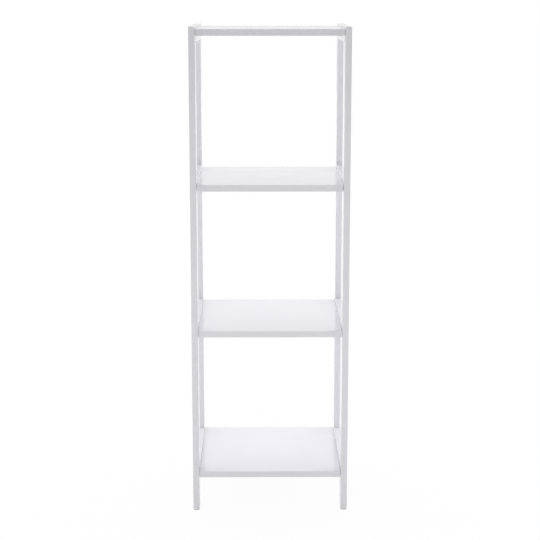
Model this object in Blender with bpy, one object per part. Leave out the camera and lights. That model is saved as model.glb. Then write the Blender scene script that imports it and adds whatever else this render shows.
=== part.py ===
"""A white tower shelf for a bathroom: two ladder side frames with four boards screwed between them.

Metres, +Z up. The origin is on the floor under the middle of the shelf, the front faces -Y and +X is to
the right. Both side frames are the same frame: it is modelled as the left one, and the right one is
turned half a turn about Z.
"""

import math

import bmesh
import bpy
from mathutils import Matrix

# Whole shelf
WIDTH = 0.370  # over the outer faces of the side frames
DEPTH = 0.360  # over the front and back faces of the posts
FIT_GAP = 0.0003  # between pieces that touch or fit into each other
EDGE_EASE = 0.0008  # the small chamfer on every board's edges

# Shelves, and the clear heights between them
SHELF_BOARD = 0.015
SHELF_END_GAP = 0.0005  # between a shelf's end and its rail
SHELF_INSET = 0.008  # from the posts' front and back faces
FLOOR_CLEARANCE = 0.0805  # under the bottom shelf
BAY_HEIGHT = 0.332  # of the two lower bays
TOP_BAY_HEIGHT = 0.340
TOP_LIP = 0.0055  # how far the posts and top rails stand above the top shelf

# Side frames: posts and rails from one board
FRAME_BOARD = 0.015  # thickness, which is what shows from the front
POST_DEPTH = 0.045
RAIL_HEIGHT = 0.036
TENON_SHOULDER = 0.004
TENON_LENGTH = 0.020

# Screws through the rails into the ends of the shelves
SCREW_INSET = 0.045  # from a post to the nearest screw
SCREW_LENGTH = 0.045  # under the head
SCREW_DIAMETER = 0.005
SCREW_TIP = 0.006
HEAD_DIAMETER = 0.0094
HEAD_HEIGHT = 0.003
SOCKET_SIDES = 6
SOCKET_WIDTH = 0.004  # across the hexagon's flats
SOCKET_DEPTH = 0.002

# Caps over the screw heads
CAP_LAP = 0.00125  # how far a cap reaches past its bore
CAP_HEIGHT = 0.0014
CAP_RIM_HEIGHT = 0.0008  # the straight part of its edge
CAP_SLOPE = 0.0012  # how far in the slope above the edge runs
CAP_PLUG = 0.0009

# Glides pressed into the lower ends of the posts
GLIDE_HEIGHT = 0.002
GLIDE_MARGIN = 0.0015  # from the post's sides to the glide's
GLIDE_CORNER = 0.003
GLIDE_CORNER_STEPS = 3
GLIDE_PIN_DIAMETER = 0.005
GLIDE_PIN_LENGTH = 0.012

ROUND_SIDES = 16
SMOOTH_ANGLE = math.radians(40)
MERGE_DISTANCE = 1e-6

# Places that follow from the sizes above
LOWER_PITCH = BAY_HEIGHT + SHELF_BOARD
TOP_PITCH = TOP_BAY_HEIGHT + SHELF_BOARD
BOTTOM_SHELF_Z = FLOOR_CLEARANCE + SHELF_BOARD / 2
TOP_SHELF_Z = BOTTOM_SHELF_Z + 2 * LOWER_PITCH + TOP_PITCH
SHELF_Z = {  # the middle of each board, where its screws go in
    "bottom": BOTTOM_SHELF_Z,
    "lower": BOTTOM_SHELF_Z + LOWER_PITCH,
    "upper": BOTTOM_SHELF_Z + 2 * LOWER_PITCH,
    "top": TOP_SHELF_Z,
}
HEIGHT = TOP_SHELF_Z + SHELF_BOARD / 2 + TOP_LIP
# A shelf meets the middle of its rails, but the top rails end level with the posts.
RAIL_Z = {**SHELF_Z, "top": HEIGHT - RAIL_HEIGHT / 2}
SHELF_LENGTH = WIDTH - 2 * FRAME_BOARD - 2 * SHELF_END_GAP
SHELF_DEPTH = DEPTH - 2 * SHELF_INSET
RAIL_LENGTH = DEPTH - 2 * POST_DEPTH - 2 * FIT_GAP
POST_BOTTOM = GLIDE_HEIGHT + FIT_GAP
POST_HEIGHT = HEIGHT - POST_BOTTOM
POST_Z = POST_BOTTOM + POST_HEIGHT / 2
POST_Y = (DEPTH - POST_DEPTH) / 2
FRAME_X = -(WIDTH - FRAME_BOARD) / 2
SCREW_Y = DEPTH / 2 - POST_DEPTH - SCREW_INSET
HEAD_BORE_DEPTH = HEAD_HEIGHT + CAP_PLUG + 2 * FIT_GAP
HEAD_BORE_RADIUS = HEAD_DIAMETER / 2 + FIT_GAP
SCREW_HOLE_RADIUS = SCREW_DIAMETER / 2 + FIT_GAP
SCREW_X = HEAD_BORE_DEPTH - FIT_GAP - WIDTH / 2  # the underside of its head
CAP_X = -FIT_GAP - WIDTH / 2  # the underside of its rim


def new_material(name, colour, roughness, metallic=0.0):
    material = bpy.data.materials.new(name)
    material.use_nodes = True
    shader = material.node_tree.nodes["Principled BSDF"]
    shader.inputs["Base Color"].default_value = (*colour, 1.0)
    shader.inputs["Roughness"].default_value = roughness
    shader.inputs["Metallic"].default_value = metallic
    material.diffuse_color = (*colour, 1.0)
    return material


def add_box(form, size, centre=(0.0, 0.0, 0.0)):
    """Adds a box to the form."""
    at = Matrix.Translation(centre) @ Matrix.Diagonal((*size, 1.0))
    bmesh.ops.create_cube(form, size=1.0, matrix=at)


def add_turned(form, profile, at=Matrix()):
    """Adds a solid turned about the X axis. The profile's (x, radius) points start and end on the axis."""
    already = set(form.verts)
    points = [form.verts.new((x, 0.0, radius)) for x, radius in profile]
    edges = [form.edges.new(pair) for pair in zip(points, points[1:])]
    bmesh.ops.spin(
        form,
        geom=points + edges,
        cent=(0.0, 0.0, 0.0),
        axis=(1.0, 0.0, 0.0),
        angle=math.tau,
        steps=ROUND_SIDES,
        use_merge=True,
    )
    # The points on the axis came round once for every step, so they are merged.
    turned = [vert for vert in form.verts if vert not in already]
    bmesh.ops.remove_doubles(form, verts=turned, dist=MERGE_DISTANCE)
    turned = [vert for vert in form.verts if vert not in already]
    bmesh.ops.transform(form, matrix=at, verts=turned)
    bmesh.ops.recalc_face_normals(form, faces=form.faces[:])


def ease_edges(form, edges, width, segments=1):
    bmesh.ops.bevel(
        form,
        geom=edges,
        offset=width,
        offset_type="OFFSET",
        segments=segments,
        profile=0.5,
        affect="EDGES",
        clamp_overlap=True,
        material=-1,
    )


def board(size):
    """A board with eased edges, round its own middle."""
    form = bmesh.new()
    add_box(form, size)
    ease_edges(form, form.edges[:], EDGE_EASE)
    return form


def finished(name, form, material, smooth=False):
    """The form as a mesh of that material."""
    mesh = bpy.data.meshes.new(name)
    form.to_mesh(mesh)
    form.free()
    mesh.materials.append(material)
    if smooth:
        mesh.shade_smooth()
        mesh.set_sharp_from_angle(angle=SMOOTH_ANGLE)
    return mesh


def carved(name, form, cutters, material, smooth=False):
    """The form as a mesh of that material, with the cutters' shapes taken out of it."""
    blank = bpy.data.objects.new("blank", finished("blank", form, material, smooth))
    cutter = bpy.data.objects.new("cutter", finished("cutter", cutters, material))
    for helper in (blank, cutter):
        bpy.context.scene.collection.objects.link(helper)
    cut = blank.modifiers.new("cut", "BOOLEAN")
    cut.operation = "DIFFERENCE"
    cut.solver = "EXACT"
    cut.object = cutter
    graph = bpy.context.evaluated_depsgraph_get()
    mesh = bpy.data.meshes.new_from_object(blank.evaluated_get(graph))
    mesh.name = name
    for helper in (blank, cutter):
        bpy.data.objects.remove(helper)
    return mesh


def place(name, mesh, parent, location, turn=0.0):
    """One piece: an object of that mesh, turned about Z on its parent."""
    piece = bpy.data.objects.new(name, mesh)
    piece.parent = parent
    piece.location = location
    piece.rotation_euler.z = turn
    bpy.context.scene.collection.objects.link(piece)


def empty(name, parent=None, turn=0.0):
    """A parent for a group of pieces, turned about Z."""
    group = bpy.data.objects.new(name, None)
    group.parent = parent
    group.rotation_euler.z = turn
    bpy.context.scene.collection.objects.link(group)
    return group


def post_mesh(material):
    """A post round its own middle, with mortises on its +Y side and the hole for a glide's pin underneath."""
    cutters = bmesh.new()
    mortise_depth = TENON_LENGTH + FIT_GAP
    mortise_width = FRAME_BOARD - 2 * TENON_SHOULDER + 2 * FIT_GAP
    mortise_height = RAIL_HEIGHT - 2 * TENON_SHOULDER + 2 * FIT_GAP
    # Each cutter is centred on the face that it cuts, so it is twice as deep as its mortise or hole.
    for rail_z in RAIL_Z.values():
        mortise = (mortise_width, 2 * mortise_depth, mortise_height)
        add_box(cutters, mortise, (0, POST_DEPTH / 2, rail_z - POST_Z))
    pin_radius = GLIDE_PIN_DIAMETER / 2 + FIT_GAP
    pin_depth = GLIDE_PIN_LENGTH + FIT_GAP
    pin_hole = [(-pin_depth, 0), (-pin_depth, pin_radius), (pin_depth, pin_radius), (pin_depth, 0)]
    upright = Matrix.Translation((0, 0, -POST_HEIGHT / 2)) @ Matrix.Rotation(-math.pi / 2, 4, "Y")
    add_turned(cutters, pin_hole, upright)
    return carved("post", board((FRAME_BOARD, POST_DEPTH, POST_HEIGHT)), cutters, material)


def rail_mesh(level, material):
    """A rail round its own middle, with a tenon on each end and stepped screw holes from its -X side."""
    form = board((FRAME_BOARD, RAIL_LENGTH, RAIL_HEIGHT))
    faces_along = sorted(form.faces, key=lambda face: face.calc_center_median().y)
    ends = [faces_along[0], faces_along[-1]]
    bmesh.ops.inset_individual(form, faces=ends, thickness=TENON_SHOULDER - EDGE_EASE, use_even_offset=True)
    # A tenon starts at the rail's own end, which is a gap short of the post.
    for tenon in bmesh.ops.extrude_discrete_faces(form, faces=ends)["faces"]:
        bmesh.ops.translate(form, verts=tenon.verts[:], vec=(TENON_LENGTH + FIT_GAP) * tenon.normal)
    cutters = bmesh.new()
    outside = -FRAME_BOARD / 2
    stepped_hole = [
        (outside - HEAD_BORE_DEPTH, 0),
        (outside - HEAD_BORE_DEPTH, HEAD_BORE_RADIUS),
        (outside + HEAD_BORE_DEPTH, HEAD_BORE_RADIUS),
        (outside + HEAD_BORE_DEPTH, SCREW_HOLE_RADIUS),
        (FRAME_BOARD, SCREW_HOLE_RADIUS),
        (FRAME_BOARD, 0),
    ]
    for y in (-SCREW_Y, SCREW_Y):
        add_turned(cutters, stepped_hole, Matrix.Translation((0, y, SHELF_Z[level] - RAIL_Z[level])))
    return carved(f"{level}_rail", form, cutters, material)


def shelf_mesh(material):
    """A shelf round its own middle, with screw holes in its ends."""
    cutters = bmesh.new()
    hole_depth = HEAD_BORE_DEPTH + SCREW_LENGTH - FRAME_BOARD - SHELF_END_GAP
    screw_hole = [
        (-hole_depth, 0),
        (-hole_depth, SCREW_HOLE_RADIUS),
        (hole_depth, SCREW_HOLE_RADIUS),
        (hole_depth, 0),
    ]
    for x in (-SHELF_LENGTH / 2, SHELF_LENGTH / 2):
        for y in (-SCREW_Y, SCREW_Y):
            add_turned(cutters, screw_hole, Matrix.Translation((x, y, 0)))
    return carved("shelf", board((SHELF_LENGTH, SHELF_DEPTH, SHELF_BOARD)), cutters, material)


def screw_mesh(material):
    """A screw along +X with the underside of its head at the origin."""
    form = bmesh.new()
    profile = [
        (-HEAD_HEIGHT, 0),
        (-HEAD_HEIGHT, HEAD_DIAMETER / 2),
        (0, HEAD_DIAMETER / 2),
        (0, SCREW_DIAMETER / 2),
        (SCREW_LENGTH - SCREW_TIP, SCREW_DIAMETER / 2),
        (SCREW_LENGTH, 0),
    ]
    add_turned(form, profile)
    socket = bmesh.new()
    corner = SOCKET_WIDTH / 2 / math.cos(math.pi / SOCKET_SIDES)
    bmesh.ops.create_cone(
        socket,
        cap_ends=True,
        segments=SOCKET_SIDES,
        radius1=corner,
        radius2=corner,
        depth=2 * SOCKET_DEPTH,
        matrix=Matrix.Translation((-HEAD_HEIGHT, 0, 0)) @ Matrix.Rotation(math.pi / 2, 4, "Y"),
    )
    return carved("screw", form, socket, material, smooth=True)


def cap_mesh(material):
    """A cap along X: its rim's underside is at the origin, its crown at -X and its plug at +X."""
    form = bmesh.new()
    cap_radius = HEAD_BORE_RADIUS + CAP_LAP
    plug_radius = HEAD_BORE_RADIUS - FIT_GAP
    profile = [
        (-CAP_HEIGHT, 0),
        (-CAP_HEIGHT, cap_radius - CAP_SLOPE),
        (-CAP_RIM_HEIGHT, cap_radius),
        (0, cap_radius),
        (0, plug_radius),
        (CAP_PLUG, plug_radius),
        (CAP_PLUG, 0),
    ]
    add_turned(form, profile)
    return finished("cap", form, material, smooth=True)


def glide_mesh(material):
    """A glide standing at Z 0, with its pin up the middle."""
    form = bmesh.new()
    pad = (FRAME_BOARD - 2 * GLIDE_MARGIN, POST_DEPTH - 2 * GLIDE_MARGIN, GLIDE_HEIGHT)
    add_box(form, pad, (0, 0, GLIDE_HEIGHT / 2))
    upright = [edge for edge in form.edges if abs(edge.verts[0].co.z - edge.verts[1].co.z) > MERGE_DISTANCE]
    ease_edges(form, upright, GLIDE_CORNER, GLIDE_CORNER_STEPS)
    # The pad's top is opened and filled again round a ring, from which the pin is drawn up.
    top = max(form.faces, key=lambda face: face.calc_center_median().z)
    outline = top.edges[:]
    bmesh.ops.delete(form, geom=[top], context="FACES_ONLY")
    ring = bmesh.ops.create_circle(
        form,
        segments=ROUND_SIDES,
        radius=GLIDE_PIN_DIAMETER / 2,
        matrix=Matrix.Translation((0, 0, GLIDE_HEIGHT)),
    )["verts"]
    rim = list({edge for vert in ring for edge in vert.link_edges})
    bmesh.ops.triangle_fill(form, edges=outline + rim, use_beauty=True, normal=(0, 0, 1))
    inside_ring = [face for face in form.faces if all(vert in ring for vert in face.verts)]
    bmesh.ops.delete(form, geom=inside_ring, context="FACES_ONLY")
    raised = bmesh.ops.extrude_edge_only(form, edges=rim)["geom"]
    tip = [item for item in raised if isinstance(item, bmesh.types.BMVert)]
    bmesh.ops.translate(form, verts=tip, vec=(0, 0, GLIDE_PIN_LENGTH))
    tip_edges = [item for item in raised if isinstance(item, bmesh.types.BMEdge)]
    bmesh.ops.contextual_create(form, geom=tip_edges)
    bmesh.ops.recalc_face_normals(form, faces=form.faces[:])
    return finished("glide", form, material, smooth=True)


for found in list(bpy.data.objects):
    bpy.data.objects.remove(found)

lacquer = new_material("white_lacquer", (0.83, 0.83, 0.84), roughness=0.28)
zinc = new_material("zinc_plated_steel", (0.62, 0.62, 0.60), roughness=0.35, metallic=1.0)
white_plastic = new_material("white_plastic", (0.80, 0.80, 0.80), roughness=0.40)
pale_plastic = new_material("pale_plastic", (0.72, 0.72, 0.70), roughness=0.50)

post = post_mesh(lacquer)
rails = {level: rail_mesh(level, lacquer) for level in RAIL_Z}
shelf = shelf_mesh(lacquer)
screw = screw_mesh(zinc)
cap = cap_mesh(white_plastic)
glide = glide_mesh(pale_plastic)

tower = empty("tower")
for level, shelf_z in SHELF_Z.items():
    place(f"{level}_shelf", shelf, tower, (0, 0, shelf_z))

for side, frame_turn in (("left", 0.0), ("right", math.pi)):
    frame = empty(f"{side}_side_frame", tower, frame_turn)
    # Turning the right frame swaps its front and back, so the names follow where its ends come to stand.
    ends = {"front": -1, "rear": 1} if side == "left" else {"front": 1, "rear": -1}
    for end, towards in ends.items():
        # The mortises of both posts face the rails between them.
        post_turn = 0.0 if towards < 0 else math.pi
        place(f"{side}_{end}_post", post, frame, (FRAME_X, towards * POST_Y, POST_Z), post_turn)
        place(f"{side}_{end}_glide", glide, frame, (FRAME_X, towards * POST_Y, 0))
    for level, rail_z in RAIL_Z.items():
        place(f"{side}_{level}_rail", rails[level], frame, (FRAME_X, 0, rail_z))
        for end, towards in ends.items():
            screw_y = towards * SCREW_Y
            place(f"{side}_{level}_{end}_screw", screw, frame, (SCREW_X, screw_y, SHELF_Z[level]))
            place(f"{side}_{level}_{end}_cap", cap, frame, (CAP_X, screw_y, SHELF_Z[level]))
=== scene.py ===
"""The looks of a white bathroom tower shelf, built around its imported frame. Metres, +Z up, front at -Y."""

import math
from itertools import product

import bmesh
import bpy
from mathutils import Matrix, Vector


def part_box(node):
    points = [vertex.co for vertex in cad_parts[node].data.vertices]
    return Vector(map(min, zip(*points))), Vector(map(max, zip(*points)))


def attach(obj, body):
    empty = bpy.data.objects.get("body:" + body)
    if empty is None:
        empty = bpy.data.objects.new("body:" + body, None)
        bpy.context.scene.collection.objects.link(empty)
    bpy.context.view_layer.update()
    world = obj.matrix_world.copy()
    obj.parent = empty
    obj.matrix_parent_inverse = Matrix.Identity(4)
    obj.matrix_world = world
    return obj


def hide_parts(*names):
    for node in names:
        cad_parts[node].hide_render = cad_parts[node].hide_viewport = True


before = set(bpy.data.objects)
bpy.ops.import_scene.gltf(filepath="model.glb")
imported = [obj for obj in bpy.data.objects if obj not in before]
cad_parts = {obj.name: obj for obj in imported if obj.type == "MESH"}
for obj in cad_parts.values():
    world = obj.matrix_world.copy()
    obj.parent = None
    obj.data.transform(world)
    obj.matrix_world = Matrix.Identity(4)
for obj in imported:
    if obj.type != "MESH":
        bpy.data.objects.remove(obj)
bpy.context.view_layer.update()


# Posts: four upright boards of medium-density fibreboard, 15 mm thick and 45 mm deep, with every edge
# eased by sanding, sprayed white all over. Blind mortises in the edges that face each other take the
# tenons of the rails, which are glued in, and a hole in the lower end takes the pin of a glide.
SIDES = ("left", "right")
ENDS = ("front", "rear")
LEVELS = ("bottom", "lower", "upper", "top")
OUTWARDS = {  # the way out from the middle of the object, by side and by end
    "left": Vector((-1, 0, 0)),
    "right": Vector((1, 0, 0)),
    "front": Vector((0, -1, 0)),
    "rear": Vector((0, 1, 0)),
}
UP = Vector((0, 0, 1))
ARRIS_RADIUS = 0.00035
ARRIS_STEPS = 3
FIT_GAP = 0.0003  # round a tenon, a pin or a screw
RAIL_PROUD = 0.0004  # how much thicker a rail is drawn, so that only a hairline parts it from its shelf
TENON_SHOULDER = 0.004
PIN_RADIUS = 0.0025
PIN_LENGTH = 0.012
ROUND_SIDES = 24
SCORED_SQUARE = 2.6  # the side of the square scored round a hole, in radii of the hole
SCORE = 0.0001  # how far inside that square the hole's edge is first drawn
SAME_DIRECTION = 0.99  # the least cosine between faces that look the same way
SAME_PLACE = 0.00001
SHARP_ANGLE = math.radians(35)
LACQUER_WHITE = "#f5f5f8"
LACQUER_SHADE = "#f2f2f6"
LACQUER_IOR = 1.5
ORANGE_PEEL = 0.006  # from crest to crest, drawn twice as coarse and much higher than real so that it shows
ORANGE_PEEL_HEIGHT = 0.00008
BOARD_WAVE = 0.060  # the slow swell that sanding leaves in a board, also drawn higher than real
BOARD_WAVE_HEIGHT = 0.0003
SPRAY_CLOUD = 0.120  # patches where the spray lay a little wetter or drier
PEEL_DETAIL, WAVE_DETAIL, CLOUD_DETAIL = 1.0, 0.0, 3.0  # how many finer layers lie on each pattern
CLOUD_LOW, CLOUD_HIGH = 0.3, 0.7  # what the noise of the patches mostly keeps between
WET_ROUGHNESS, DRY_ROUGHNESS = 0.09, 0.14
COLOUR_A, COLOUR_B, COLOUR_RESULT = 6, 7, 2  # the sockets of a Mix node that hold colours


def linear(hex_colour):
    """An sRGB hex colour as linear red, green and blue, with an alpha of 1."""
    channels = [int(hex_colour[start : start + 2], 16) / 255 for start in (1, 3, 5)]
    return (*[c / 12.92 if c <= 0.04045 else ((c + 0.055) / 1.055) ** 2.4 for c in channels], 1.0)


def add_node(tree, kind, inputs=None, **settings):
    """Adds a node with those settings. An input is a value, or the output that is linked to it."""
    node = tree.nodes.new(kind)
    for name, value in settings.items():
        setattr(node, name, value)
    for name, value in (inputs or {}).items():
        if isinstance(value, bpy.types.NodeSocket):
            tree.links.new(value, node.inputs[name])
        else:
            node.inputs[name].default_value = value
    return node


def new_material(name):
    """A material with nothing in it yet, and its node tree."""
    material = bpy.data.materials.new(name)
    material.use_nodes = True
    material.node_tree.nodes.clear()
    return material, material.node_tree


# Sprayed lacquer is even and glossy: close to, its light is broken by a faint orange peel, and over a
# hand's width by the board's own swell and by patches where the coat dried a little duller.
sprayed_lacquer, tree = new_material("sprayed_lacquer")
place = add_node(tree, "ShaderNodeTexCoord").outputs["Object"]
peel = add_node(
    tree,
    "ShaderNodeTexNoise",
    {"Vector": place, "Scale": 1 / ORANGE_PEEL, "Detail": PEEL_DETAIL},
)
wave = add_node(
    tree,
    "ShaderNodeTexNoise",
    {"Vector": place, "Scale": 1 / BOARD_WAVE, "Detail": WAVE_DETAIL},
)
cloud = add_node(
    tree,
    "ShaderNodeTexNoise",
    {"Vector": place, "Scale": 1 / SPRAY_CLOUD, "Detail": CLOUD_DETAIL},
)
swell = add_node(tree, "ShaderNodeBump", {"Distance": BOARD_WAVE_HEIGHT, "Height": wave.outputs["Fac"]})
skin = add_node(
    tree,
    "ShaderNodeBump",
    {
        "Distance": ORANGE_PEEL_HEIGHT,
        "Height": peel.outputs["Fac"],
        "Normal": swell.outputs["Normal"],
    },
)
dryness = add_node(
    tree,
    "ShaderNodeMapRange",
    {
        "Value": cloud.outputs["Fac"],
        "From Min": CLOUD_LOW,
        "From Max": CLOUD_HIGH,
        "To Min": WET_ROUGHNESS,
        "To Max": DRY_ROUGHNESS,
    },
)
tint = add_node(
    tree,
    "ShaderNodeMix",
    {"Factor": cloud.outputs["Fac"], COLOUR_A: linear(LACQUER_WHITE), COLOUR_B: linear(LACQUER_SHADE)},
    data_type="RGBA",
)
coat = add_node(
    tree,
    "ShaderNodeBsdfPrincipled",
    {
        "Base Color": tint.outputs[COLOUR_RESULT],
        "Roughness": dryness.outputs["Result"],
        "IOR": LACQUER_IOR,
        "Normal": skin.outputs["Normal"],
    },
)
add_node(tree, "ShaderNodeOutputMaterial", {"Surface": coat.outputs["BSDF"]})


def rail_box(side, level):
    """The lowest and highest corners of a rail, which is drawn a little thicker towards its shelf."""
    low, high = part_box(f"{side}_{level}_rail")
    if side == "left":
        high.x += RAIL_PROUD
    else:
        low.x -= RAIL_PROUD
    return low, high


def face_middle(low, high, direction):
    """The middle of the face that looks in a direction along one axis, on the box between two corners."""
    middle = (low + high) / 2
    for axis in range(3):
        if direction[axis]:
            middle[axis] = high[axis] if direction[axis] > 0 else low[axis]
    return middle


def ease(form, edges, radius, steps):
    """Rounds edges over."""
    bmesh.ops.bevel(
        form,
        geom=edges,
        offset=radius,
        offset_type="OFFSET",
        segments=steps,
        profile=0.5,
        affect="EDGES",
        material=-1,
    )


def block(low, high):
    """A square-edged block between two corners."""
    form = bmesh.new()
    at = Matrix.Translation((low + high) / 2) @ Matrix.Diagonal((*(high - low), 1.0))
    bmesh.ops.create_cube(form, size=1.0, matrix=at)
    return form


def board(low, high):
    """A board between two corners, with its edges eased."""
    form = block(low, high)
    ease(form, form.edges[:], ARRIS_RADIUS, ARRIS_STEPS)
    return form


def flat_faces(form, at, outwards):
    """The faces that look outwards and lie level with a point."""
    alike = [face for face in form.faces if face.normal.dot(outwards) > SAME_DIRECTION]
    return [face for face in alike if abs((face.calc_center_median() - at).dot(outwards)) < SAME_PLACE]


def mark_out(form, centre, outwards, size):
    """Scores a rectangle round a point on the flat that looks outwards, and returns its face."""
    for axis in range(3):
        if outwards[axis]:
            continue
        along = Vector()
        along[axis] = 1.0
        for half in (-size[axis] / 2, size[axis] / 2):
            faces = flat_faces(form, centre, outwards)
            edges = {edge for face in faces for edge in face.edges}
            verts = {vert for face in faces for vert in face.verts}
            bmesh.ops.bisect_plane(
                form,
                geom=[*verts, *edges, *faces],
                dist=SAME_PLACE,
                plane_co=centre + half * along,
                plane_no=along,
            )
    faces = flat_faces(form, centre, outwards)
    return min(faces, key=lambda face: (face.calc_center_bounds() - centre).length)


def draw_out(form, face, distance):
    """Draws a face out of the form, or into it if the distance is below zero, and returns the moved face."""
    moved = bmesh.ops.extrude_discrete_faces(form, faces=[face])["faces"][0]
    bmesh.ops.translate(form, verts=moved.verts[:], vec=distance * moved.normal)
    return moved


def round_off(form, face, radius):
    """Draws a circle inside a face and returns the face inside the circle."""
    bmesh.ops.inset_individual(form, faces=[face], thickness=SCORE, use_even_offset=True)
    centre = face.calc_center_bounds()
    for vert in face.verts:
        vert.co = centre + radius * (vert.co - centre).normalized()
    return face


def mark_circle(form, centre, outwards, radius):
    """Draws a circle round a point on a flat of the form and returns the face inside it."""
    square = mark_out(form, centre, outwards, SCORED_SQUARE * radius * Vector((1, 1, 1)))
    bmesh.ops.bisect_edges(form, edges=square.edges[:], cuts=ROUND_SIDES // len(square.edges) - 1)
    return round_off(form, square, radius)


def show(name, form, material, node):
    """Makes a piece of the form, which stands for that node of the frame."""
    mesh = bpy.data.meshes.new(name)
    form.to_mesh(mesh)
    form.free()
    mesh.materials.append(material)
    mesh.shade_smooth()
    mesh.set_sharp_from_angle(angle=SHARP_ANGLE)
    piece = bpy.data.objects.new(name, mesh)
    bpy.context.scene.collection.objects.link(piece)
    even_light = piece.modifiers.new("even_light", "WEIGHTED_NORMAL")
    even_light.keep_sharp = True
    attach(piece, "root")
    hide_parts(node)


for side, end in product(SIDES, ENDS):
    post = f"{side}_{end}_post"
    post_low, post_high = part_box(post)
    form = board(post_low, post_high)
    inwards = -OUTWARDS[end]
    inner_y = face_middle(post_low, post_high, inwards).y
    for level in LEVELS:
        rail_low, rail_high = rail_box(side, level)
        tenon_tip = face_middle(rail_low, rail_high, OUTWARDS[end])
        mouth = Vector((tenon_tip.x, inner_y, tenon_tip.z))
        mortise_size = rail_high - rail_low - 2 * (TENON_SHOULDER - FIT_GAP) * Vector((1, 0, 1))
        mortise = mark_out(form, mouth, inwards, mortise_size)
        draw_out(form, mortise, -abs(inner_y - tenon_tip.y) - FIT_GAP)
    lower_end = face_middle(post_low, post_high, -UP)
    pin_hole = mark_circle(form, lower_end, -UP, PIN_RADIUS + FIT_GAP)
    draw_out(form, pin_hole, -PIN_LENGTH - FIT_GAP)
    show(f"{post}_board", form, sprayed_lacquer, post)


# Rails: short boards of the same stock that join a side's two posts, one at each shelf. Their tenons
# are glued into the posts, and two stepped holes take the screws that pull the shelf up to them.
SCREW_RADIUS = 0.0025
HEAD_HEIGHT = 0.003
for side, level in product(SIDES, LEVELS):
    rail = f"{side}_{level}_rail"
    outwards = OUTWARDS[side]
    rail_low, rail_high = rail_box(side, level)
    tenon_tips = {"front": rail_low.y, "rear": rail_high.y}
    front_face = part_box(f"{side}_front_post")[1].y
    rear_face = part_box(f"{side}_rear_post")[0].y
    rail_low.y, rail_high.y = front_face + FIT_GAP, rear_face - FIT_GAP
    form = board(rail_low, rail_high)
    outer_x = face_middle(rail_low, rail_high, outwards).x
    inner_x = face_middle(rail_low, rail_high, -outwards).x
    for end in ENDS:
        screw_low, screw_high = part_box(f"{side}_{level}_{end}_screw")
        head = face_middle(screw_low, screw_high, outwards)
        mouth = Vector((outer_x, head.y, head.z))
        way_out = Vector((inner_x, head.y, head.z))
        head_bore = mark_circle(form, mouth, outwards, (screw_high.z - screw_low.z) / 2 + FIT_GAP)
        seat = draw_out(form, head_bore, -abs(head.x - outer_x) - HEAD_HEIGHT - FIT_GAP)
        near_end = round_off(form, seat, SCREW_RADIUS + FIT_GAP)
        far_end = mark_circle(form, way_out, -outwards, SCREW_RADIUS + FIT_GAP)
        rims = near_end.edges[:] + far_end.edges[:]
        bmesh.ops.delete(form, geom=[near_end, far_end], context="FACES_ONLY")
        bmesh.ops.bridge_loops(form, edges=rims)
    for end in ENDS:
        shoulder = max(form.faces, key=lambda face: face.calc_center_median().dot(OUTWARDS[end]))
        shoulder_y = shoulder.calc_center_median().y
        inset = TENON_SHOULDER - ARRIS_RADIUS
        bmesh.ops.inset_individual(form, faces=[shoulder], thickness=inset, use_even_offset=True)
        draw_out(form, shoulder, abs(tenon_tips[end] - shoulder_y))
    show(f"{rail}_board", form, sprayed_lacquer, rail)


# Shelves: four boards of the same stock and finish, set back a little from the posts at the front and the
# back. They butt against the rails, with a hairline left open, and their ends are drilled for the screws.
for level in LEVELS:
    shelf = f"{level}_shelf"
    shelf_low, shelf_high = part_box(shelf)
    form = board(shelf_low, shelf_high)
    for side, end in product(SIDES, ENDS):
        outwards = OUTWARDS[side]
        screw_low, screw_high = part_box(f"{side}_{level}_{end}_screw")
        screw_tip = face_middle(screw_low, screw_high, -outwards)
        end_x = face_middle(shelf_low, shelf_high, outwards).x
        mouth = Vector((end_x, screw_tip.y, screw_tip.z))
        screw_hole = mark_circle(form, mouth, outwards, SCREW_RADIUS + FIT_GAP)
        draw_out(form, screw_hole, -abs(screw_tip.x - end_x) - FIT_GAP)
    show(f"{shelf}_board", form, sprayed_lacquer, shelf)


# Screws: sixteen connecting screws of zinc-plated steel, two through each rail into the end of its shelf.
# They are headed and their coarse thread is rolled; a hexagon key turns them in from outside the rail.
HEAD_EASE = 0.0004
NECK_LENGTH = 0.010  # the plain part under the head, about as long as its way through the rail
CORE_RADIUS = 0.0018
CORE_OVERLAP = 0.0001  # how deep the thread's foot lies inside the core
THREAD_PITCH = 0.003
THREAD_FOOT = 0.0012
SCREW_TIP = 0.006
SOCKET_WIDTH = 0.004  # across the hexagon's flats
SOCKET_SIDES = 6
SOCKET_DEPTH = 0.002
ZINC = "#c3c7cb"
ZINC_SHADE = "#aeb4ba"
ZINC_GRAIN = 0.0004
ZINC_BRIGHT, ZINC_DULL = 0.25, 0.42

# Zinc plating on steel is a thin cool metal skin, bright but broken by fine crystals, which scatter
# its shine.
zinc_plated_steel, tree = new_material("zinc_plated_steel")
place = add_node(tree, "ShaderNodeTexCoord").outputs["Object"]
crystals = add_node(tree, "ShaderNodeTexNoise", {"Vector": place, "Scale": 1 / ZINC_GRAIN})
shine = add_node(
    tree,
    "ShaderNodeMapRange",
    {"Value": crystals.outputs["Fac"], "To Min": ZINC_BRIGHT, "To Max": ZINC_DULL},
)
tint = add_node(
    tree,
    "ShaderNodeMix",
    {"Factor": crystals.outputs["Fac"], COLOUR_A: linear(ZINC), COLOUR_B: linear(ZINC_SHADE)},
    data_type="RGBA",
)
plating = add_node(
    tree,
    "ShaderNodeBsdfPrincipled",
    {"Base Color": tint.outputs[COLOUR_RESULT], "Roughness": shine.outputs["Result"], "Metallic": 1.0},
)
add_node(tree, "ShaderNodeOutputMaterial", {"Surface": plating.outputs["BSDF"]})


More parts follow.
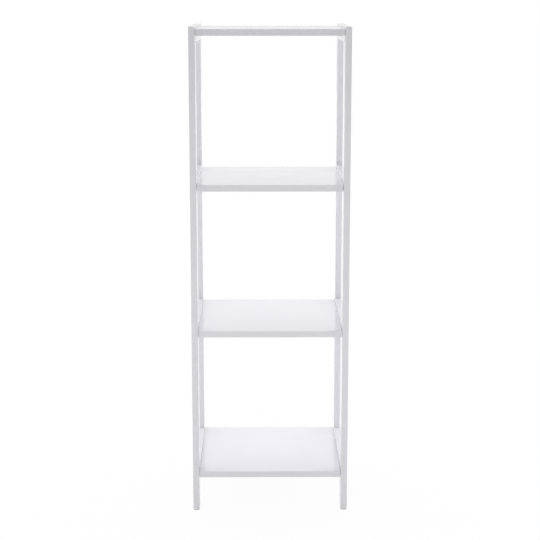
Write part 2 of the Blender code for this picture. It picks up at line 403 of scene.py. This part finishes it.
def turned(profile):
    """A solid turned about Z from (radius, height) points. An end off the axis is closed flat."""
    form = bmesh.new()
    points = [form.verts.new((radius, 0.0, height)) for radius, height in profile]
    edges = [form.edges.new(pair) for pair in zip(points, points[1:])]
    bmesh.ops.spin(
        form,
        geom=points + edges,
        cent=(0, 0, 0),
        axis=UP,
        angle=math.tau,
        steps=ROUND_SIDES,
        use_merge=True,
    )
    bmesh.ops.remove_doubles(form, verts=form.verts[:], dist=SAME_PLACE)
    bmesh.ops.holes_fill(form, edges=form.edges[:])
    bmesh.ops.recalc_face_normals(form, faces=form.faces[:])
    return form


def cut_socket(form):
    """Sinks a hexagon into the flat of a head, which is the form's lowest face."""
    flat = min(form.faces, key=lambda face: face.calc_center_median().z)
    socket = round_off(form, flat, SOCKET_WIDTH / 2)
    side_angle = math.tau / SOCKET_SIDES
    for vert in socket.verts:
        off_middle = math.atan2(vert.co.y, vert.co.x) % side_angle - side_angle / 2
        vert.co.xy /= math.cos(off_middle)
    draw_out(form, socket, -SOCKET_DEPTH)


def roll_thread(form, start, end):
    """Winds a ridge round the core. It runs out of the neck just before the start, and stops at the end."""
    turns = math.floor((end - start) / THREAD_PITCH) + 1
    foot = end - turns * THREAD_PITCH
    ridge = [
        form.verts.new((CORE_RADIUS - CORE_OVERLAP, 0, foot - THREAD_FOOT)),
        form.verts.new((SCREW_RADIUS, 0, foot - THREAD_FOOT / 2)),
        form.verts.new((CORE_RADIUS - CORE_OVERLAP, 0, foot)),
    ]
    ridge_edges = [form.edges.new(pair) for pair in zip(ridge, ridge[1:] + ridge[:1])]
    bmesh.ops.spin(
        form,
        geom=ridge + ridge_edges,
        cent=(0, 0, 0),
        axis=UP,
        dvec=THREAD_PITCH / ROUND_SIDES * UP,
        angle=turns * math.tau,
        steps=turns * ROUND_SIDES,
    )
    bmesh.ops.holes_fill(form, edges=[edge for edge in form.edges if edge.is_boundary])
    bmesh.ops.recalc_face_normals(form, faces=form.faces[:])


def connecting_screw(head_radius, length):
    """A screw that stands on the flat of its head and points up along Z."""
    thread_start = HEAD_HEIGHT + NECK_LENGTH
    thread_end = length - SCREW_TIP
    form = turned(
        [
            (head_radius - HEAD_EASE, 0),
            (head_radius, HEAD_EASE),
            (head_radius, HEAD_HEIGHT),
            (SCREW_RADIUS, HEAD_HEIGHT),
            (SCREW_RADIUS, thread_start),
            (CORE_RADIUS, thread_start),
            (CORE_RADIUS, thread_end),
            (0, length),
        ]
    )
    cut_socket(form)
    roll_thread(form, thread_start, thread_end)
    return form


def set_in(form, at, inwards):
    """Moves a form that was made along Z to a point, with its Z axis pointing inwards."""
    turn = inwards.to_track_quat("Z", "Y").to_matrix().to_4x4()
    bmesh.ops.transform(form, matrix=Matrix.Translation(at) @ turn, verts=form.verts[:])


for side, level, end in product(SIDES, LEVELS, ENDS):
    screw = f"{side}_{level}_{end}_screw"
    screw_low, screw_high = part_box(screw)
    form = connecting_screw((screw_high.z - screw_low.z) / 2, screw_high.x - screw_low.x)
    set_in(form, face_middle(screw_low, screw_high, OUTWARDS[side]), -OUTWARDS[side])
    show(f"{screw}_thread", form, zinc_plated_steel, screw)


# Caps: sixteen covers of white polypropylene, each moulded with a short plug that is pressed into the bore
# over a screw's head, so that only its low crown shows on the outside of the rail.
CAP_CROWN = 0.0014
CAP_LAP = 0.00125  # how far a cap reaches past its bore
CROWN_STEPS = 10
CROWN_FULLNESS = 3.2  # 2 is an ellipse, and more is squarer at the rim
PLUG_EASE = 0.0002
CAP_WHITE = "#ecedec"
CAP_SHADE = "#e4e5e4"
CAP_ROUGHNESS, CAP_DULL = 0.32, 0.40
MOULD_GRAIN = 0.0008  # the mould's spark-worn grain, drawn twice as coarse as real so that it shows
MOULD_GRAIN_HEIGHT = 0.000006
MOULD_FLOW = 0.004  # faint clouds from the flow of the melt
POLYMER_IOR = 1.49


def moulded_plastic(name, colour, shade, roughness, dull):
    """Moulded plastic: an even colour, faintly clouded, with a satin skin that the mould's grain breaks."""
    material, tree = new_material(name)
    place = add_node(tree, "ShaderNodeTexCoord").outputs["Object"]
    grain = add_node(tree, "ShaderNodeTexNoise", {"Vector": place, "Scale": 1 / MOULD_GRAIN})
    flow = add_node(tree, "ShaderNodeTexNoise", {"Vector": place, "Scale": 1 / MOULD_FLOW})
    skin = add_node(
        tree,
        "ShaderNodeBump",
        {"Distance": MOULD_GRAIN_HEIGHT, "Height": grain.outputs["Fac"]},
    )
    tint = add_node(
        tree,
        "ShaderNodeMix",
        {"Factor": flow.outputs["Fac"], COLOUR_A: linear(colour), COLOUR_B: linear(shade)},
        data_type="RGBA",
    )
    satin = add_node(
        tree,
        "ShaderNodeMapRange",
        {"Value": grain.outputs["Fac"], "To Min": roughness, "To Max": dull},
    )
    plastic = add_node(
        tree,
        "ShaderNodeBsdfPrincipled",
        {
            "Base Color": tint.outputs[COLOUR_RESULT],
            "Roughness": satin.outputs["Result"],
            "IOR": POLYMER_IOR,
            "Normal": skin.outputs["Normal"],
        },
    )
    add_node(tree, "ShaderNodeOutputMaterial", {"Surface": plastic.outputs["BSDF"]})
    return material


def cover_cap(radius, height):
    """A cap that lies on its crown, with its plug pointing up along Z."""
    plug_radius = radius - CAP_LAP - FIT_GAP
    profile = [
        (0, height),
        (plug_radius - PLUG_EASE, height),
        (plug_radius, height - PLUG_EASE),
        (plug_radius, CAP_CROWN),
    ]
    for step in range(CROWN_STEPS + 1):
        angle = math.pi / 2 * step / CROWN_STEPS
        out = math.cos(angle) ** (2 / CROWN_FULLNESS)
        down = math.sin(angle) ** (2 / CROWN_FULLNESS)
        profile.append((radius * out, CAP_CROWN * (1 - down)))
    return turned(profile)


moulded_polypropylene = moulded_plastic(
    "moulded_polypropylene", CAP_WHITE, CAP_SHADE, CAP_ROUGHNESS, CAP_DULL
)
for side, level, end in product(SIDES, LEVELS, ENDS):
    cap = f"{side}_{level}_{end}_cap"
    cap_low, cap_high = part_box(cap)
    form = cover_cap((cap_high.z - cap_low.z) / 2, cap_high.x - cap_low.x)
    set_in(form, face_middle(cap_low, cap_high, OUTWARDS[side]), -OUTWARDS[side])
    show(f"{cap}_crown", form, moulded_polypropylene, cap)


# Glides: four pads of milky polyethylene, each moulded with a pin that is pressed into the lower end of a
# post. They keep the board's end off a wet floor, and stand a little inside its outline.
PAD_CORNER = 0.003
PAD_CORNER_STEPS = 6
SOLE_EASE = 0.0005
SOLE_STEPS = 2
PIN_TIP = 0.002
PIN_TIP_SHARE = 0.7  # how wide the pin's tip is, beside the pin
GLIDE_WHITE = "#e3e3de"
GLIDE_SHADE = "#d9d9d3"
GLIDE_ROUGHNESS, GLIDE_DULL = 0.45, 0.55

moulded_polyethylene = moulded_plastic(
    "moulded_polyethylene", GLIDE_WHITE, GLIDE_SHADE, GLIDE_ROUGHNESS, GLIDE_DULL
)
for side, end in product(SIDES, ENDS):
    glide = f"{side}_{end}_glide"
    pad_low, pad_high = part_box(glide)
    pad_high.z -= PIN_LENGTH
    form = block(pad_low, pad_high)
    upright = [edge for edge in form.edges if abs(edge.verts[0].co.z - edge.verts[1].co.z) > SAME_PLACE]
    ease(form, upright, PAD_CORNER, PAD_CORNER_STEPS)
    sole = min(form.faces, key=lambda face: face.calc_center_median().z)
    ease(form, sole.edges[:], SOLE_EASE, SOLE_STEPS)
    pad_top = face_middle(pad_low, pad_high, UP)
    pin_foot = mark_circle(form, pad_top, UP, PIN_RADIUS)
    pin = draw_out(form, pin_foot, PIN_LENGTH - PIN_TIP)
    tip = draw_out(form, pin, PIN_TIP)
    for vert in tip.verts:
        vert.co.xy = pad_top.xy + PIN_TIP_SHARE * (vert.co.xy - pad_top.xy)
    show(f"{glide}_pad", form, moulded_polyethylene, glide)


# Floor: a plain white sweep. To the eye it shines as white as the light tent round it. Only near the shelf
# are a few hundredths of it lit paint, so that a faint shadow stays there, as on bright studio paper.
FLOOR_SIZE = 28.0
FLOOR_DROP = 0.0003  # how far it lies under the glides, so that their soles don't lie in it
FLOOR_WHITE = "#f4f4f4"
FLOOR_ROUGHNESS = 0.9
FLOOR_GLOW = 0.95
SHADOW_REACH, SHADOW_END = 0.4, 1.6  # from the middle, where the glow starts to fill up and is full
PLAIN_WHITE = "#ffffff"


def seen_white(tree):
    """1 for a ray from the camera, in a reflection or through something clear, and 0 for any other ray."""
    rays = add_node(tree, "ShaderNodeLightPath").outputs
    seen = rays["Is Camera Ray"]
    for kind in ("Is Glossy Ray", "Is Transmission Ray"):
        seen = add_node(tree, "ShaderNodeMath", {0: seen, 1: rays[kind]}, operation="MAXIMUM").outputs[0]
    return seen


floor_paint, tree = new_material("floor_paint")
place = add_node(tree, "ShaderNodeTexCoord").outputs["Object"]
distance = add_node(tree, "ShaderNodeVectorMath", {0: place}, operation="LENGTH")
fading = add_node(
    tree,
    "ShaderNodeMapRange",
    {
        "Value": distance.outputs["Value"],
        "From Min": SHADOW_REACH,
        "From Max": SHADOW_END,
        "To Min": FLOOR_GLOW,
        "To Max": 1.0,
    },
)
share = add_node(
    tree,
    "ShaderNodeMath",
    {0: seen_white(tree), 1: fading.outputs["Result"]},
    operation="MULTIPLY",
)
paint = add_node(
    tree,
    "ShaderNodeBsdfPrincipled",
    {"Base Color": linear(FLOOR_WHITE), "Roughness": FLOOR_ROUGHNESS},
)
glow = add_node(tree, "ShaderNodeEmission", {"Color": linear(PLAIN_WHITE)})
both = add_node(tree, "ShaderNodeMixShader", {0: share.outputs[0], 1: paint.outputs[0], 2: glow.outputs[0]})
add_node(tree, "ShaderNodeOutputMaterial", {"Surface": both.outputs[0]})

form = bmesh.new()
at = Matrix.Translation((0, 0, -FLOOR_DROP))
bmesh.ops.create_grid(form, x_segments=1, y_segments=1, size=FLOOR_SIZE / 2, matrix=at)
mesh = bpy.data.meshes.new("floor")
form.to_mesh(mesh)
form.free()
mesh.materials.append(floor_paint)
floor = bpy.data.objects.new("floor", mesh)
bpy.context.scene.collection.objects.link(floor)


# Light: a white light tent. Its front and back slopes shine softly, a wide panel stands at each side, and a
# strip stands low in front. To the eye the tent is plain white. In reflections its open front is dark, and
# the foot of its back is a little dimmer than the rest.
BACK_SLOPE, FRONT_SLOPE, SLOPE_FALL_OFF = 1.81, 0.80, 4.0
OPEN_FRONT, OPEN_FRONT_FALL_OFF = 0.95, 12.0
BACK_FOOT, BACK_FOOT_FALL_OFF = 0.13, 40.0
PANEL_SIZE, PANEL_WATTS = (3.0, 2.4), 24.5
STRIP_SIZE, STRIP_WATTS = (1.6, 0.4), 1.4
LAMPS = {  # where each lamp stands, where it points, its width and height, and its watts
    "left_panel": ((-1.8, 0.2, 1.2), (0, 0.1, 0.6), PANEL_SIZE, PANEL_WATTS),
    "right_panel": ((1.8, 0.2, 1.2), (0, 0.1, 0.6), PANEL_SIZE, PANEL_WATTS),
    "front_strip": ((0, -1.5, 0.25), (0, 0, 0.3), STRIP_SIZE, STRIP_WATTS),
}


def tent_part(tree, middle, fall_off, strength):
    """How much of a part of the tent lies in the direction looked at: most in its middle, less round it."""
    way = add_node(tree, "ShaderNodeTexCoord").outputs["Generated"]
    towards = {0: way, 1: middle.normalized()}
    share = add_node(tree, "ShaderNodeVectorMath", towards, operation="DOT_PRODUCT").outputs["Value"]
    for operation, value in (("MAXIMUM", 0.0), ("POWER", fall_off), ("MULTIPLY", strength)):
        share = add_node(tree, "ShaderNodeMath", {0: share, 1: value}, operation=operation).outputs[0]
    return share


world = bpy.data.worlds.new("light_tent")
bpy.context.scene.world = world
world.use_nodes = True
tree = world.node_tree
tree.nodes.clear()
back_slope = tent_part(tree, OUTWARDS["rear"] + UP, SLOPE_FALL_OFF, BACK_SLOPE)
front_slope = tent_part(tree, OUTWARDS["front"] + UP, SLOPE_FALL_OFF, FRONT_SLOPE)
slopes = add_node(tree, "ShaderNodeMath", {0: back_slope, 1: front_slope}, operation="ADD")
soft = add_node(
    tree,
    "ShaderNodeBackground",
    {"Color": linear(PLAIN_WHITE), "Strength": slopes.outputs[0]},
)
open_front = tent_part(tree, OUTWARDS["front"], OPEN_FRONT_FALL_OFF, OPEN_FRONT)
back_foot = tent_part(tree, OUTWARDS["rear"], BACK_FOOT_FALL_OFF, BACK_FOOT)
dimmed = add_node(tree, "ShaderNodeMath", {0: open_front, 1: back_foot}, operation="ADD")
mirrored = add_node(tree, "ShaderNodeMath", {0: 1.0, 1: dimmed.outputs[0]}, operation="SUBTRACT")
to_eye = add_node(tree, "ShaderNodeLightPath").outputs["Is Camera Ray"]
whiteness = add_node(tree, "ShaderNodeMath", {0: to_eye, 1: mirrored.outputs[0]}, operation="MAXIMUM")
white = add_node(
    tree,
    "ShaderNodeBackground",
    {"Color": linear(PLAIN_WHITE), "Strength": whiteness.outputs[0]},
)
both = add_node(tree, "ShaderNodeMixShader", {0: seen_white(tree), 1: soft.outputs[0], 2: white.outputs[0]})
add_node(tree, "ShaderNodeOutputWorld", {"Surface": both.outputs[0]})

for name, (at, aim, size, watts) in LAMPS.items():
    lamp = bpy.data.lights.new(name, "AREA")
    lamp.shape = "RECTANGLE"
    lamp.size, lamp.size_y = size
    lamp.energy = watts
    holder = bpy.data.objects.new(name, lamp)
    holder.location = at
    holder.rotation_euler = (Vector(aim) - Vector(at)).to_track_quat("-Z", "Y").to_euler()
    holder.visible_camera = False
    holder.visible_glossy = False
    bpy.context.scene.collection.objects.link(holder)


# Camera: it stands where the photograph was taken from, a little above the top shelf and left of the middle,
# and is tilted down. It has no shift, so that the object stays in the middle of every other view too.
CAMERA_PLACE = Vector((-0.0252, -3.3286, 1.2256))
CAMERA_AIM = Vector((0.0011, 0.0, 0.5552))
LENS = 91.86
camera = bpy.data.objects.new("camera", bpy.data.cameras.new("camera"))
camera.data.lens = LENS
camera.location = CAMERA_PLACE
camera.rotation_euler = (CAMERA_AIM - CAMERA_PLACE).to_track_quat("-Z", "Y").to_euler()
bpy.context.scene.collection.objects.link(camera)
bpy.context.scene.camera = camera
bpy.context.scene.view_settings.view_transform = "Standard"
